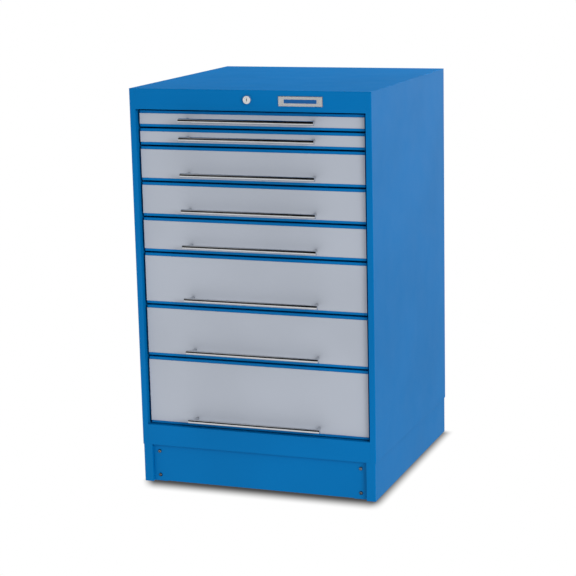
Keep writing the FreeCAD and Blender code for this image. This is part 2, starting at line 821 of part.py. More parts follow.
def make_screw(name, diameter, length, head, head_height, backwards=False):
    """A screw on the Y axis, its head in front of the origin and its shank behind."""
    piece = start_piece(name)
    way = -1 if backwards else 1
    profile = (
        (0, -way * head_height),
        (head / 2, -way * head_height),
        (head / 2, 0),
        (diameter / 2, 0),
        (diameter / 2, way * length),
        (0, way * length),
    )
    turn_profile(piece, profile, axis="V_Axis")
    return piece


def make_kick_panel_screws():
    """Four screws with a hexagon socket in the head."""
    screw = make_screw(
        "kick_screw", size.screw_diameter, size.screw_length, size.screw_head, size.screw_head_height
    )
    head = -size.screw_head_height
    corner = size.hex_key / math.sqrt(3)
    hexagon = []
    for step in range(6):
        angle = math.radians(60 * step)
        hexagon.append((corner * math.cos(angle), corner * math.sin(angle)))
    cut_away(screw, "XZ", head, head + size.hex_depth, outlines=[hexagon])
    copies = [(screw, x, size.kick_recess, z, 0) for x, z in kick_screw_spots]
    return finish_piece(group("kick_panel_screws", copies))


# Lock
def make_lock_cylinder():
    """The fixed barrel of the lock, with its collar in front of the header."""
    piece = start_piece("lock_cylinder")
    bore = (0, lock_axis_z, size.plug_diameter + size.plug_play)
    collar = (0, lock_axis_z, size.lock_face)
    barrel = (0, lock_axis_z, size.barrel_diameter)
    add_sheet(piece, "XZ", [], -size.lock_reach, 0, circles=[collar, bore])
    add_sheet(piece, "XZ", [], 0, size.barrel_length, circles=[barrel, bore])
    doc.recompute()
    rim = round_rims(piece, size.lock_face, lambda middle: near(middle.y, -size.lock_reach))
    bevel_edges(piece, size.lock_chamfer, rim)
    return finish_piece(piece)


def make_lock_nut():
    """The nut that holds the barrel against the header from behind."""
    piece = start_piece("lock_nut")
    corner = size.nut_size / math.sqrt(3)
    hexagon = []
    for step in range(6):
        angle = math.radians(60 * step)
        hexagon.append((corner * math.cos(angle), lock_axis_z + corner * math.sin(angle)))
    hole = (0, lock_axis_z, size.barrel_diameter + size.thread_play)
    add_sheet(piece, "XZ", [hexagon], size.wall, size.wall + size.nut_height, circles=[hole])
    return finish_piece(piece)


def make_lock_plug():
    """The part of the lock that turns with the key, with a square end behind."""
    piece = start_piece("lock_plug")
    face = size.plug_recess - size.lock_reach
    shoulder = size.barrel_length + size.slide_gap
    add_sheet(piece, "XZ", [], face, shoulder, circles=[(0, lock_axis_z, size.plug_diameter)])
    half = size.plug_end / 2
    square = rectangle(-half, lock_axis_z - half, half, lock_axis_z + half)
    add_sheet(piece, "XZ", [square], shoulder, shoulder + size.cam_wall)
    half_key = size.key_height / 2
    keyhole = rectangle(
        -size.key_width / 2, lock_axis_z - half_key, size.key_width / 2, lock_axis_z + half_key
    )
    cut_away(piece, "XZ", face, face + size.key_depth, outlines=[keyhole])
    return finish_piece(piece)


def make_lock_cam():
    """A disc on the plug's square end, with the pin that moves the lock bar."""
    piece = start_piece("lock_cam")
    front = size.barrel_length + size.slide_gap
    back = front + size.cam_wall
    half = (size.plug_end + size.plug_play) / 2
    hole = rectangle(-half, lock_axis_z - half, half, lock_axis_z + half)
    disc = (0, lock_axis_z, 2 * size.cam_radius)
    add_sheet(piece, "XZ", [hole], front, back, circles=[disc])
    side = PIN_SIDE * size.cam_throw
    pin = (side, lock_axis_z + side, size.cam_pin)
    add_sheet(piece, "XZ", [], back, bar_rear + size.lock_play, circles=[pin])
    return finish_piece(piece)


def make_lock_bar():
    """Three strips welded edge to edge: an arm, an upright with a tooth per drawer, and a foot."""
    side = PIN_SIDE * size.cam_throw
    half_slot = (size.cam_pin + size.slot_play) / 2
    pin_low = lock_axis_z + side - half_slot
    pin_high = lock_axis_z + size.cam_throw + half_slot
    arm_low = header_bottom + size.bar_edge
    arm_high = pin_high + size.bar_edge
    arm_end = side - half_slot - size.bar_edge
    foot_low = foot_guide_z - size.guide_diameter / 2 - size.bar_edge
    foot_high = foot_guide_z + size.guide_diameter / 2 + size.bar_edge
    half_guide = (size.guide_diameter + size.slot_play) / 2
    arm_slots = [rectangle(side - half_slot, pin_low, side + half_slot, pin_high)]
    foot_slots = []
    for x, z in guide_spots:
        slot = rectangle(x - half_guide, z - half_guide, x + lock_travel + half_guide, z + half_guide)
        if near(z.value, foot_guide_z):
            foot_slots.append(slot)
        else:
            arm_slots.append(slot)
    arm = start_piece("lock_bar_arm")
    strip = rectangle(arm_end, arm_low, bar_inside, arm_high)
    add_sheet(arm, "XZ", [strip], bar_front, bar_rear)
    cut_away(arm, "XZ", bar_front, bar_rear, outlines=arm_slots)
    foot_strip = start_piece("lock_bar_foot")
    strip = rectangle(foot_end, foot_low, bar_inside, foot_high)
    add_sheet(foot_strip, "XZ", [strip], bar_front, bar_rear)
    cut_away(foot_strip, "XZ", bar_front, bar_rear, outlines=foot_slots)
    upright = start_piece("lock_bar_upright")
    tooth_tip = rail_tip + size.rail_gap
    outline = [(bar_outside, foot_low), (bar_outside, arm_high), (bar_inside, arm_high)]
    for foot in drawer_feet:
        low = foot + size.tooth_lift
        high = low + size.tooth_height
        outline += [(bar_inside, high), (tooth_tip, high), (tooth_tip, low), (bar_inside, low)]
    outline.append((bar_inside, foot_low))
    add_sheet(upright, "XZ", [outline], bar_front, bar_rear)
    copies = [(strip, 0, 0, 0, 0) for strip in (arm, upright, foot_strip)]
    return finish_piece(group("lock_bar", copies))


def make_lock_bar_guides():
    """Three shoulder screws that the lock bar slides on."""
    length = bar_rear + size.slide_gap - (size.return_depth - size.wall) + size.wall
    screw = make_screw(
        "guide_screw", size.guide_diameter, length, size.guide_head, size.guide_head_height, backwards=True
    )
    seat = bar_rear + size.slide_gap
    copies = [(screw, x, seat, z, 0) for x, z in guide_spots]
    return finish_piece(group("lock_bar_guides", copies))


# Badge
def make_badge():
    """A plain frame on the header, and the plain strip in its seat."""
    frame = start_piece("badge_frame")
    half = size.badge_width / 2
    half_high = size.badge_height / 2
    plate = rectangle(
        size.badge_at - half, header_middle - half_high, size.badge_at + half, header_middle + half_high
    )
    face = -size.badge_wall
    add_sheet(frame, "XZ", [plate], face, 0)
    half_strip = size.insert_width / 2
    half_strip_high = size.insert_height / 2
    strip = rectangle(
        size.badge_at - half_strip,
        header_middle - half_strip_high,
        size.badge_at + half_strip,
        header_middle + half_strip_high,
    )
    seat = face + size.insert_recess
    doc.recompute()
    rim = straight_edges(frame, "xz", lambda end: near(end.y, face))
    bevel_edges(frame, size.badge_chamfer, rim)
    cut_away(frame, "XZ", face, seat, outlines=[strip])
    finish_piece(frame)
    insert = start_piece("badge_insert")
    add_sheet(insert, "XZ", [strip], seat - size.insert_wall, seat)
    return frame, finish_piece(insert)


# Heights of the feet of the drawers' shares, from the top down
drawer_feet = []
foot_now = stack_top
for steps in DRAWER_STEPS:
    foot_now = foot_now - steps * size.slot_pitch
    drawer_feet.append(foot_now)

# Places of the screws
kick_screw_x = half_width - size.plinth_inset - size.plinth_flange - size.screw_inset
kick_screw_spots = []
for screw_side in (LEFT, RIGHT):
    for screw_z in (size.screw_low, size.screw_high):
        kick_screw_spots.append((screw_side * kick_screw_x, screw_z))
upper_guide_z = header_bottom + size.lip_height / 2
foot_guide_z = stack_bottom - size.lip_height / 2
guide_spots = (
    (size.guide_inner, upper_guide_z),
    (outer_guide_x, upper_guide_z),
    (foot_guide_x, foot_guide_z),
)

make_side_panel("left_side_panel", LEFT)
make_side_panel("right_side_panel", RIGHT)
make_top_panel()
make_header_fascia()
make_bottom_rail()
make_floor_panel()
make_back_panel()
make_uprights()
make_runner_channels()
make_plinth_frame()
make_kick_panel()
make_kick_panel_screws()
make_lock_cylinder()
make_lock_nut()
make_lock_plug()
make_lock_cam()
make_lock_bar()
make_lock_bar_guides()
make_badge()

roller_master = make_roller()
right_rail = make_drawer_rail("right_rail", True)
left_rail = mirror_across_middle(make_drawer_rail("left_rail_mirrored", False))
handle_master = make_handle_master()
for drawer, (drawer_foot, drawer_steps) in enumerate(zip(drawer_feet, DRAWER_STEPS), start=1):
    share = drawer_steps * size.slot_pitch
    make_drawer_box(drawer, drawer_foot, share, (right_rail, left_rail))
    make_face_panel(drawer, drawer_foot, share)
    make_handle(drawer, drawer_foot, handle_master)
    axis_z = drawer_foot + roller_axis_z
    make_rollers(f"front_rollers_{drawer}", roller_master, front_roller_in, size.front_roller_at, axis_z)
    make_rollers(f"rear_rollers_{drawer}", roller_master, rear_roller_in, rear_roller_at, axis_z)

doc.recompute()

# Nothing is written unless every object and every shape is sound
for thing in doc.Objects:
    if "Invalid" in thing.State or "Error" in thing.State:
        raise RuntimeError(f"{thing.Label} did not build: {thing.State}")
    if thing.TypeId == "PartDesign::Pocket" and thing.BaseFeature is not None:
        if thing.Shape.Volume > thing.BaseFeature.Shape.Volume - 0.01:
            raise RuntimeError(f"{thing.Label} cuts nothing")
for node in nodes:
    if node.Shape.isNull() or not node.Shape.isValid():
        raise RuntimeError(f"{node.Label} has no sound shape")

os.makedirs("parts", exist_ok=True)
for node in nodes:
    node.Shape.exportStep(os.path.join("parts", f"{node.Label}.step"))
    print(f"{node.Label}: {len(node.Shape.Solids)} solids, {node.Shape.Volume / 1000:.1f} cm3")
print(f"{len(nodes)} sub-parts, lock bar travel {lock_travel.value:.3f} mm")
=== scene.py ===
# %% [markdown]
# # A steel drawer cabinet with chromed handles
#
# The real thing is a workshop and laboratory cabinet of folded sheet steel, powder coated blue,
# with pale grey faces on its drawers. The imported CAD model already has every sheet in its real
# place, so this lesson dresses it: paint, plating, nylon, and the few round bright pieces whose
# reflections need smoother surfaces than flat triangles give.
#
# The first step loads the CAD model as a fixed frame. All later pieces are made in its metres.

# %% Load the frame
import json
import math

import bpy
import numpy as np
from mathutils import Matrix, Vector


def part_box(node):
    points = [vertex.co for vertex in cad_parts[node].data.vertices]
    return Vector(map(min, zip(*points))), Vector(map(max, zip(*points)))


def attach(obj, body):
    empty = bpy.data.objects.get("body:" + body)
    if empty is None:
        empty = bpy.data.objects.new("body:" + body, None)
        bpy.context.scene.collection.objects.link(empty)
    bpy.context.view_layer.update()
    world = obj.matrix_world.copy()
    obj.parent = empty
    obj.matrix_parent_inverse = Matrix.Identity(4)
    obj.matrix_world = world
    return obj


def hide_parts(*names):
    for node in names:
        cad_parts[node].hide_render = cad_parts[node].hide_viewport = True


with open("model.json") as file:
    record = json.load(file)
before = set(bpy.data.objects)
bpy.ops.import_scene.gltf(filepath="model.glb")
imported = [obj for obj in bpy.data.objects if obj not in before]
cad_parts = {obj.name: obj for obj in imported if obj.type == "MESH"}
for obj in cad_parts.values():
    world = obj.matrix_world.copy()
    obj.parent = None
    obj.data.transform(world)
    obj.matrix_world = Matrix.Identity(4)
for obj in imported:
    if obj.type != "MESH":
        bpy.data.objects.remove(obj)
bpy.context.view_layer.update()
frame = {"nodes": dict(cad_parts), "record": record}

# %% [markdown]
# ## The camera
#
# A product photographer stands well back and uses a long lens, so that the cabinet's upright
# edges stay nearly parallel. The viewing angle was found by fitting a pinhole camera to the
# corners of the cabinet. The photograph is a crop, so the lens axis isn't quite in its middle:
# a very small lens shift does the same as the crop.

# %% Place the camera
FRAME_PIXELS = 576
SENSOR_WIDTH = 36.0

AZIMUTH = math.radians(19.470)
ELEVATION = math.radians(11.843)
ROLL = math.radians(-1.095)
FOCAL_PIXELS = 1775.11
LENS_AXIS = (322.96, 287.06)
FRONT_PLANE_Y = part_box("left_side_panel")[0].y
CAMERA_PLACE = Vector((1.7757, -4.4406 + FRONT_PLANE_Y, 1.5851))

forward = Vector((
    -math.sin(AZIMUTH) * math.cos(ELEVATION),
    math.cos(AZIMUTH) * math.cos(ELEVATION),
    -math.sin(ELEVATION),
))
level_right = Vector((math.cos(AZIMUTH), math.sin(AZIMUTH), 0.0))
level_up = level_right.cross(forward)
right = math.cos(ROLL) * level_right + math.sin(ROLL) * level_up
up = -math.sin(ROLL) * level_right + math.cos(ROLL) * level_up

lens = bpy.data.cameras.new("camera")
lens.sensor_width = SENSOR_WIDTH
lens.lens = FOCAL_PIXELS / FRAME_PIXELS * SENSOR_WIDTH
lens.shift_x = (FRAME_PIXELS / 2 - LENS_AXIS[0]) / FRAME_PIXELS
lens.shift_y = (LENS_AXIS[1] - FRAME_PIXELS / 2) / FRAME_PIXELS
camera = bpy.data.objects.new("camera", lens)
turn = Matrix((right, up, -forward)).transposed().to_4x4()
camera.matrix_world = Matrix.Translation(CAMERA_PLACE) @ turn
bpy.context.scene.collection.objects.link(camera)
bpy.context.scene.camera = camera
print(f"lens {lens.lens:.1f} mm, shift {lens.shift_x:.3f} {lens.shift_y:.3f}")

# %% [markdown]
# ## Shader maths as Python
#
# A material is a graph of nodes, and arithmetic drawn as nodes is hard to read. The small class
# below wraps a socket. Adding or multiplying two of them adds the Math node, so that a mask can
# be written as `1 - front * side`.

# %% A class for shader sockets
class Shade:
    """One output socket of a shader, with Python's operators on it."""

    def __init__(self, tree, socket):
        self.tree = tree
        self.socket = socket

    def node(self, kind, settings=None, inputs=None, output=0):
        """Add any node: settings are its properties, inputs its sockets by name or number."""
        made = self.tree.nodes.new(kind)
        for name, value in (settings or {}).items():
            setattr(made, name, value)
        for name, value in (inputs or {}).items():
            if isinstance(value, Shade):
                self.tree.links.new(value.socket, made.inputs[name])
            else:
                made.inputs[name].default_value = value
        return Shade(self.tree, made.outputs[output])

    def maths(self, operation, *values):
        inputs = dict(enumerate(values))
        return self.node("ShaderNodeMath", {"operation": operation}, inputs)

    def __add__(self, other):
        return self.maths("ADD", self, other)

    def __radd__(self, other):
        return self.maths("ADD", other, self)

    def __sub__(self, other):
        return self.maths("SUBTRACT", self, other)

    def __rsub__(self, other):
        return self.maths("SUBTRACT", other, self)

    def __mul__(self, other):
        return self.maths("MULTIPLY", self, other)

    def __rmul__(self, other):
        return self.maths("MULTIPLY", other, self)

    def part(self, axis):
        """The X, Y or Z of a place or a direction."""
        return self.node("ShaderNodeSeparateXYZ", inputs={0: self}, output=axis)

    def at_least(self, low):
        return self.maths("MAXIMUM", self, low)

    def between(self, low, high):
        """0 below low, 1 above high, and smooth in between."""
        settings = {"interpolation_type": "SMOOTHSTEP"}
        return self.node("ShaderNodeMapRange", settings, {0: self, 1: low, 2: high})

    def past(self, edge, softness):
        """0 before an edge and 1 past it, smooth over the softness on either side."""
        return self.between(edge - softness, edge + softness)

    def mix(self, first, second):
        """A colour that goes from the first to the second as this value goes from 0 to 1.

        The Mix node takes its colours at sockets 6 and 7, and gives a colour at output 2.
        """
        pair = (first, second)
        first, second = (tint if isinstance(tint, Shade) else (*tint, 1.0) for tint in pair)
        inputs = {0: self, 6: first, 7: second}
        return self.node("ShaderNodeMix", {"data_type": "RGBA"}, inputs, output=2)


print("a shader socket now has + - *, part, at_least, between, past and mix")

# %% [markdown]
# ## Light
#
# The photograph was taken in a white studio, and its background is clipped to pure white. The
# cabinet's top is its brightest face and its front its darkest, so the light comes from above, from
# behind and from the right. A weak light from everywhere, stronger above, is left for the front
# and the gaps, and two lamps further on do the rest.
#
# What a shiny surface reflects is another matter. Painted steel seen at a slant mirrors what
# stands behind the cabinet, and the photograph shows a bright wall there at the right that fades
# downwards. So the world gives one colour to soft rays and another to mirrored rays.

# %% Set the world
SOFT_LIGHT = 0.40
MORE_FROM_ABOVE = 0.40
DARK_ROOM = 0.008

# The bright wall behind, as parts of a direction of length 1: it grows towards the right over
# BACK_ACROSS, fades downwards over BACK_FADE, and ends at its sides and its top.
BACK_ACROSS = (-0.42, 0.30)
BACK_FADE = (-0.24, -0.06)
BACK_LOW = 0.55
BACK_HIGHER = 0.72
BACK_LEAST = 0.11
BACK_SIDES = (0.75, 0.90)
BACK_TOP = (0.30, 0.45)


def srgb(*channels):
    """Linear colour from the 0 to 255 values that a picture editor shows."""
    shares = [channel / 255 for channel in channels]
    return tuple(s / 12.92 if s <= 0.04045 else ((s + 0.055) / 1.055) ** 2.4 for s in shares)


def grey(value):
    return (value, value, value)


scene = bpy.context.scene
scene.view_settings.view_transform = "Standard"
world = bpy.data.worlds.new("studio")
scene.world = world
world.use_nodes = True
world.node_tree.nodes.clear()
start = Shade(world.node_tree, None)
direction = start.node("ShaderNodeTexCoord", output="Generated")
way_x, way_y, way_z = (direction.part(axis) for axis in "XYZ")
soft = way_z.at_least(0.0) * MORE_FROM_ABOVE + SOFT_LIGHT

fading = way_z.between(*BACK_FADE) * BACK_HIGHER + BACK_LOW
back_wall = way_x.between(*BACK_ACROSS) * fading + BACK_LEAST
behind = way_y.between(*BACK_SIDES) * (1 - way_z.between(*BACK_TOP))
mirrored = behind.mix(grey(DARK_ROOM), back_wall)
shiny = start.node("ShaderNodeLightPath", output="Is Glossy Ray")
seen = start.node("ShaderNodeLightPath", output="Is Camera Ray")
glow = seen.mix(shiny.mix(soft, mirrored), grey(1.0))
backdrop = start.node("ShaderNodeBackground", inputs={"Color": glow})
out = world.node_tree.nodes.new("ShaderNodeOutputWorld")
world.node_tree.links.new(backdrop.socket, out.inputs["Surface"])
print("soft light", SOFT_LIGHT)

# %% [markdown]
# ## Two lamps
#
# Two wide round lamps stand for the studio's softboxes, because a wide lamp gives a shade with a
# soft edge. The right one reaches into the left corner of every drawer front and leaves a soft
# shade at the right. The one behind stands high, so it lights the top and a little of the right
# side. No mirrored ray meets them: the sheets of the next step are made for those.

# %% Add two wide lamps
# Each lamp has its place, the point that it aims at, its width in metres and its power in watts.
LAMPS = {
    "right_lamp": ((10.9, -7.9, 4.4), (0.0, 0.0, 0.5), 6.0, 960.0),
    "back_lamp": ((0.9, 2.9, 4.95), (0.0, 0.3, 1.1), 2.5, 212.0),
}

for name, (lamp_place, target, across, power) in LAMPS.items():
    light = bpy.data.lights.new(name, "AREA")
    light.shape = "DISK"
    light.size = across
    light.energy = power
    lamp = bpy.data.objects.new(name, light)
    aim = (Vector(target) - Vector(lamp_place)).to_track_quat("-Z", "Y")
    lamp.matrix_world = Matrix.Translation(Vector(lamp_place)) @ aim.to_matrix().to_4x4()
    lamp.visible_glossy = False
    scene.collection.objects.link(lamp)
    print(name, power, "W")

# %% [markdown]
# ## What the chrome sees
#
# The long black band on each handle is a dark room, and below it the bar mirrors something white.
# The edge between them lies lowest on the upper bars and highest on the lowest one. Followed
# back along their mirrored rays, these edges all cross near one place, 1.7 m in front of the
# handles and 0.2 m above the floor: there is the top of a white board. The upper left part of
# each bar is lighter, and the same sum puts a pale ceiling above, to the left of x = -0.9 m.
# A flat face, such as the lock's, looks over the board at one small patch of the far wall, and
# the lock is bright, so a white strip runs there. A mirrored floor lies below, white with a painted
# shadow close in front of the cabinet. These are plain sheets that only mirrored rays can meet.

# %% Put up the floor, the board, the wall and the ceiling
FLOOR_WHITE = 0.85
# Painted shadow on the mirrored floor: dark close in front of the cabinet, where the real floor lies in
# its shade, and white from about 90 mm out.
MIRRORED_FLOOR_SHADOW = (-0.01, 0.09)
FLOOR_SUNK = 0.002
BOARD_AWAY = 1.72
BOARD_TOP = 0.20
BOARD_WHITE = 1.05
BOARD_HALF_WIDTH = 5.0
WALL_AWAY = 4.33
WALL_WHITE = 0.95
WALL_STRIP = (0.56, 0.68)
WALL_SOFTNESS = 0.03
WALL_SIZE = 12.0
CEILING_UP = 2.5
CEILING_ACROSS = (-4.0, 0.0)
CEILING_BACK = 3.0
CEILING_EDGE = -0.90
CEILING_SOFTNESS = 0.05
CEILING_SLANT = 0.19
CEILING_FRONT = -1.4
CEILING_PALE = 0.42


def glowing_sheet(name, corners, build_glow):
    """A flat sheet that glows by itself; build_glow makes its colour from the place on it."""
    mesh = bpy.data.meshes.new(name)
    mesh.from_pydata(corners, [], [(0, 1, 2, 3)])
    sheet = bpy.data.objects.new(name, mesh)
    scene.collection.objects.link(sheet)
    paint = bpy.data.materials.new(name)
    paint.use_nodes = True
    tree = paint.node_tree
    tree.nodes.clear()
    place = Shade(tree, None).node("ShaderNodeTexCoord", output="Object")
    lit = place.node("ShaderNodeEmission", inputs={"Color": build_glow(place)})
    end = tree.nodes.new("ShaderNodeOutputMaterial")
    tree.links.new(lit.socket, end.inputs["Surface"])
    mesh.materials.append(paint)
    return sheet


# The mirrored floor, with its painted shadow close in front of the cabinet.
def mirrored_floor(place):
    ahead = FRONT_PLANE_Y - place.part("Y")
    return ahead.between(*MIRRORED_FLOOR_SHADOW).mix(grey(DARK_ROOM), grey(FLOOR_WHITE))


def mirrored_board(place):
    return (*grey(BOARD_WHITE), 1.0)


def mirrored_wall(place):
    height = place.part("Z")
    low, high = WALL_STRIP
    strip = height.past(low, WALL_SOFTNESS) * (1 - height.past(high, WALL_SOFTNESS))
    return strip.mix(grey(DARK_ROOM), grey(WALL_WHITE))


def mirrored_ceiling(place):
    across = place.part("X") + place.part("Y") * CEILING_SLANT
    edge = across.past(CEILING_EDGE, CEILING_SOFTNESS)
    return edge.mix(grey(CEILING_PALE), grey(DARK_ROOM))


def upright_corners(y, width, top):
    return [(-width, y, 0), (width, y, 0), (width, y, top), (-width, y, top)]


def level_corners(x_low, x_high, y_low, y_high, z):
    return [(x_low, y_low, z), (x_high, y_low, z), (x_high, y_high, z), (x_low, y_high, z)]


board_y = FRONT_PLANE_Y - BOARD_AWAY
wall_y = FRONT_PLANE_Y - WALL_AWAY
wide = BOARD_HALF_WIDTH
floor_corners = level_corners(-wide, wide, board_y, FRONT_PLANE_Y, -FLOOR_SUNK)
ceiling_corners = level_corners(*CEILING_ACROSS, CEILING_FRONT, CEILING_BACK, CEILING_UP)
STUDIO = {
    "studio_floor": (floor_corners, mirrored_floor),
    "studio_board": (upright_corners(board_y, wide, BOARD_TOP), mirrored_board),
    "studio_wall": (upright_corners(wall_y, WALL_SIZE, WALL_SIZE), mirrored_wall),
    "studio_ceiling": (ceiling_corners, mirrored_ceiling),
}
for name, (corners, build_glow) in STUDIO.items():
    sheet = glowing_sheet(name, corners, build_glow)
    for kind in ("camera", "diffuse", "transmission", "volume_scatter", "shadow"):
        setattr(sheet, f"visible_{kind}", False)
print(len(STUDIO), "sheets; the white board is", BOARD_TOP, "m high")

# %% [markdown]
# ## Floor
#
# The cabinet stands on a white floor that is as bright as the background, so only a narrow
# soft shadow shows round the plinth. It is about 80 mm deep in front, 35 mm at the right and
# hardly there at the left, where its front end runs off at a slant. A lit floor would need far
# more light than the cabinet bears before it turned pure white, so this one glows by itself. On
# each side of the plinth its brightness rises smoothly from just inside the edge to the end of the
# shadow, and a corner takes whatever light either side lets in:
# lit = 1 - (1 - front)(1 - right)(1 - left)(1 - back). Only the camera sees this shadow: the floor
# still throws its full white light back at the cabinet.

# %% Make the floor
FLOOR_SIZE = 60.0
SHADOW_DEEP = 0.07
SHADOW_FRONT = (-0.009, 0.079)
SHADOW_RIGHT = (-0.010, 0.035)
SHADOW_LEFT = (-0.030, 0.014)
SHADOW_BACK = (-0.030, 0.014)
SHADOW_SLANT = 0.5


def floor_shadow(place):
    """White, but grey near the plinth where the camera sees it."""
    low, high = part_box("plinth_frame")
    across = place.part("X")
    ahead = low.y - place.part("Y")
    slanted = ahead.at_least(0.0) * SHADOW_SLANT
    in_front = ahead.between(*SHADOW_FRONT)
    at_right = (across - high.x).between(*SHADOW_RIGHT)
    at_left = (low.x - across + slanted).between(*SHADOW_LEFT)
    at_back = (place.part("Y") - high.y).between(*SHADOW_BACK)
    lit = 1 - (1 - in_front) * (1 - at_right) * (1 - at_left) * (1 - at_back)
    shadow = lit.mix(grey(SHADOW_DEEP), grey(1.0))
    return place.node("ShaderNodeLightPath", output="Is Camera Ray").mix(grey(1.0), shadow)


half = FLOOR_SIZE / 2
floor = glowing_sheet("floor", level_corners(-half, half, -half, half, 0.0), floor_shadow)
floor.visible_glossy = False
print("floor", FLOOR_SIZE, "m")

# %% [markdown]
# ## Materials
#
# Every finish starts from the same helper: a Principled shader, a position on the piece, and a
# dictionary of its constant sockets. The position is Object coordinates, because every piece's
# object stays at the origin and so the grain sits still on the steel.

# %% A helper for materials
def new_material(name, constants):
    """A Principled material, its shader, and the place on the piece that its maths starts from."""
    made = bpy.data.materials.new(name)
    made.use_nodes = True
    shader = made.node_tree.nodes["Principled BSDF"]
    for socket, value in constants.items():
        shader.inputs[socket].default_value = value
    place = Shade(made.node_tree, None).node("ShaderNodeTexCoord", output="Object")
    return made, shader, place


def feed(shader, socket, value):
    """Link a value to one of the shader's sockets."""
    shader.id_data.links.new(value.socket, shader.inputs[socket])


def noise(place, scale, detail=2.0):
    """Cloudy values from 0 to 1; scale is in cycles per metre."""
    sockets = {"Vector": place, "Scale": scale, "Detail": detail}
    return place.node("ShaderNodeTexNoise", inputs=sockets)


def stretched(place, scale):
    """The same place, squeezed along some axes so that a pattern runs in streaks."""
    return place.node("ShaderNodeMapping", inputs={"Vector": place, "Scale": scale})


def toned(colour, share):
    """A colour made darker or lighter, and never past white."""
    return tuple(min(1.0, channel * share) for channel in colour)


def bump(height, distance, normal=None):
    """Small relief from a height value, in metres."""
    sockets = {"Height": height, "Distance": distance, "Strength": 1.0}
    if normal is not None:
        sockets["Normal"] = normal
    return height.node("ShaderNodeBump", inputs=sockets)


print("a finish now has noise, streaks, tones and bump")

# %% [markdown]
# ## Powder coat
#
# Powder coat melts into a film that rounds every sheet edge a little and settles into a fine
# orange peel. A Bevel node rounds the edges for the light only, and a fine noise gives the
# peel, since modelled rounds on every sheet would cost many faces and never show from a step
# away. The colour drifts by a few percent, and the sheen a little more.

# %% Make the paints
FILM_ROUND = 0.0009
FILM_SAMPLES = 4
DRIFT_SCALE = 3.0
DRIFT_SPREAD = (0.3, 0.7)
DRIFT_DARKER = 0.96
DRIFT_LIGHTER = 1.03
SMUDGE_SCALE = 14.0
SMUDGE_SHARE = 0.10
PEEL_SCALE = 900.0


def powder_coat(name, colour, sheen, peel, mirroring):
    """Coloured powder coat: sheen is its roughness, and peel the depth of its skin in metres."""
    made, shader, place = new_material(name, {"Specular IOR Level": mirroring})
    drift = noise(place, DRIFT_SCALE).between(*DRIFT_SPREAD)
    feed(shader, "Base Color", drift.mix(toned(colour, DRIFT_DARKER), toned(colour, DRIFT_LIGHTER)))
    smudge = noise(place, SMUDGE_SCALE, detail=3.0)
    feed(shader, "Roughness", sheen + (smudge - 0.5) * SMUDGE_SHARE)
    rounded = place.node("ShaderNodeBevel", {"samples": FILM_SAMPLES}, {"Radius": FILM_ROUND})
    fine = noise(place, PEEL_SCALE, detail=1.0)
    feed(shader, "Normal", bump(fine, peel, rounded))
    return made


cabinet_blue = powder_coat(
    "cabinet_blue", srgb(0, 106, 171), sheen=0.42, peel=0.000012, mirroring=0.05)
panel_grey = powder_coat(
    "panel_grey", srgb(171, 177, 188), sheen=0.45, peel=0.000012, mirroring=0.1)
badge_blue = powder_coat(
    "badge_blue", srgb(14, 86, 150), sheen=0.35, peel=0.000006, mirroring=0.3)
print("paints:", cabinet_blue.name, panel_grey.name, badge_blue.name)

# %% [markdown]
# ## Chrome, nickel and zinc
#
# Plating is metal all through: its colour is its reflection. Polished chrome is nearly a mirror
# with faint wiping marks. Zinc plate on the hidden runners is duller and cloudy. The kick panel's
# screws get a darker colour than their steel has, as painted shade: it stands for the shaded
# floor that they mirror. The lock and the badge have a satin finish, which scatters a part of the
# light as paint does, so that they stay grey where there is nothing bright to mirror.

# %% Make the metals
CLOUD_SCALE = 22.0
CLOUD_SPREAD = (0.2, 0.8)
CLOUD_DARKER = 0.9
CLOUD_SHARE = 0.6
MARK_SCALE = 60.0
MARK_SHARE = 0.4
MARK_DEPTH = 0.000004


def plating(name, colour, roughness, spread, streaks, metal=1.0):
    """Plated metal: its roughness varies by the spread, in clouds and in marks.

    The marks run longest along the axis that has the smallest number in streaks.
    """
    made, shader, place = new_material(name, {"Metallic": metal})
    clouds = noise(place, CLOUD_SCALE, detail=3.0)
    marks = noise(stretched(place, streaks), MARK_SCALE)
    feed(shader, "Base Color", clouds.between(*CLOUD_SPREAD).mix(toned(colour, CLOUD_DARKER), colour))
    uneven = clouds * CLOUD_SHARE + marks * MARK_SHARE - 0.5
    feed(shader, "Roughness", roughness + uneven * spread)
    feed(shader, "Normal", bump(marks, MARK_DEPTH))
    return made


handle_chrome = plating(
    "handle_chrome", (0.69, 0.70, 0.72), roughness=0.05, spread=0.04, streaks=(0.3, 6.0, 6.0))
lock_chrome = plating(
    "lock_chrome", (0.82, 0.83, 0.84), roughness=0.07, spread=0.04, streaks=(4.0, 4.0, 4.0), metal=0.75)
zinc_steel = plating(
    "zinc_steel", (0.55, 0.57, 0.60), roughness=0.42, spread=0.22, streaks=(1.0, 0.2, 1.0))
# The screws' dark colour is painted shade for the shaded floor that they mirror.
screw_steel_painted_shade = plating(
    "screw_steel_painted_shade", (0.22, 0.23, 0.25), roughness=0.20, spread=0.06, streaks=(4.0, 4.0, 4.0))
badge_silver = plating(
    "badge_silver", (0.68, 0.69, 0.70), roughness=0.10, spread=0.05, streaks=(0.2, 4.0, 4.0), metal=0.75)
for metal in (handle_chrome, lock_chrome, zinc_steel, screw_steel_painted_shade, badge_silver):
    print("metal:", metal.name)

# %% [markdown]
# ## Nylon rollers
#
# The rollers are moulded in off-white nylon, which is slightly waxy. At their size in the picture
# light inside the nylon wouldn't show, so a plain surface with a faint mottle is enough.

# %% Make the nylon
NYLON_MIRRORING = 0.4
NYLON_SHEEN = 0.38
NYLON_DARKER = (0.70, 0.69, 0.64)
NYLON_LIGHTER = (0.80, 0.79, 0.75)
MOTTLE_SCALE = 160.0
MOTTLE_SHARE = 0.12

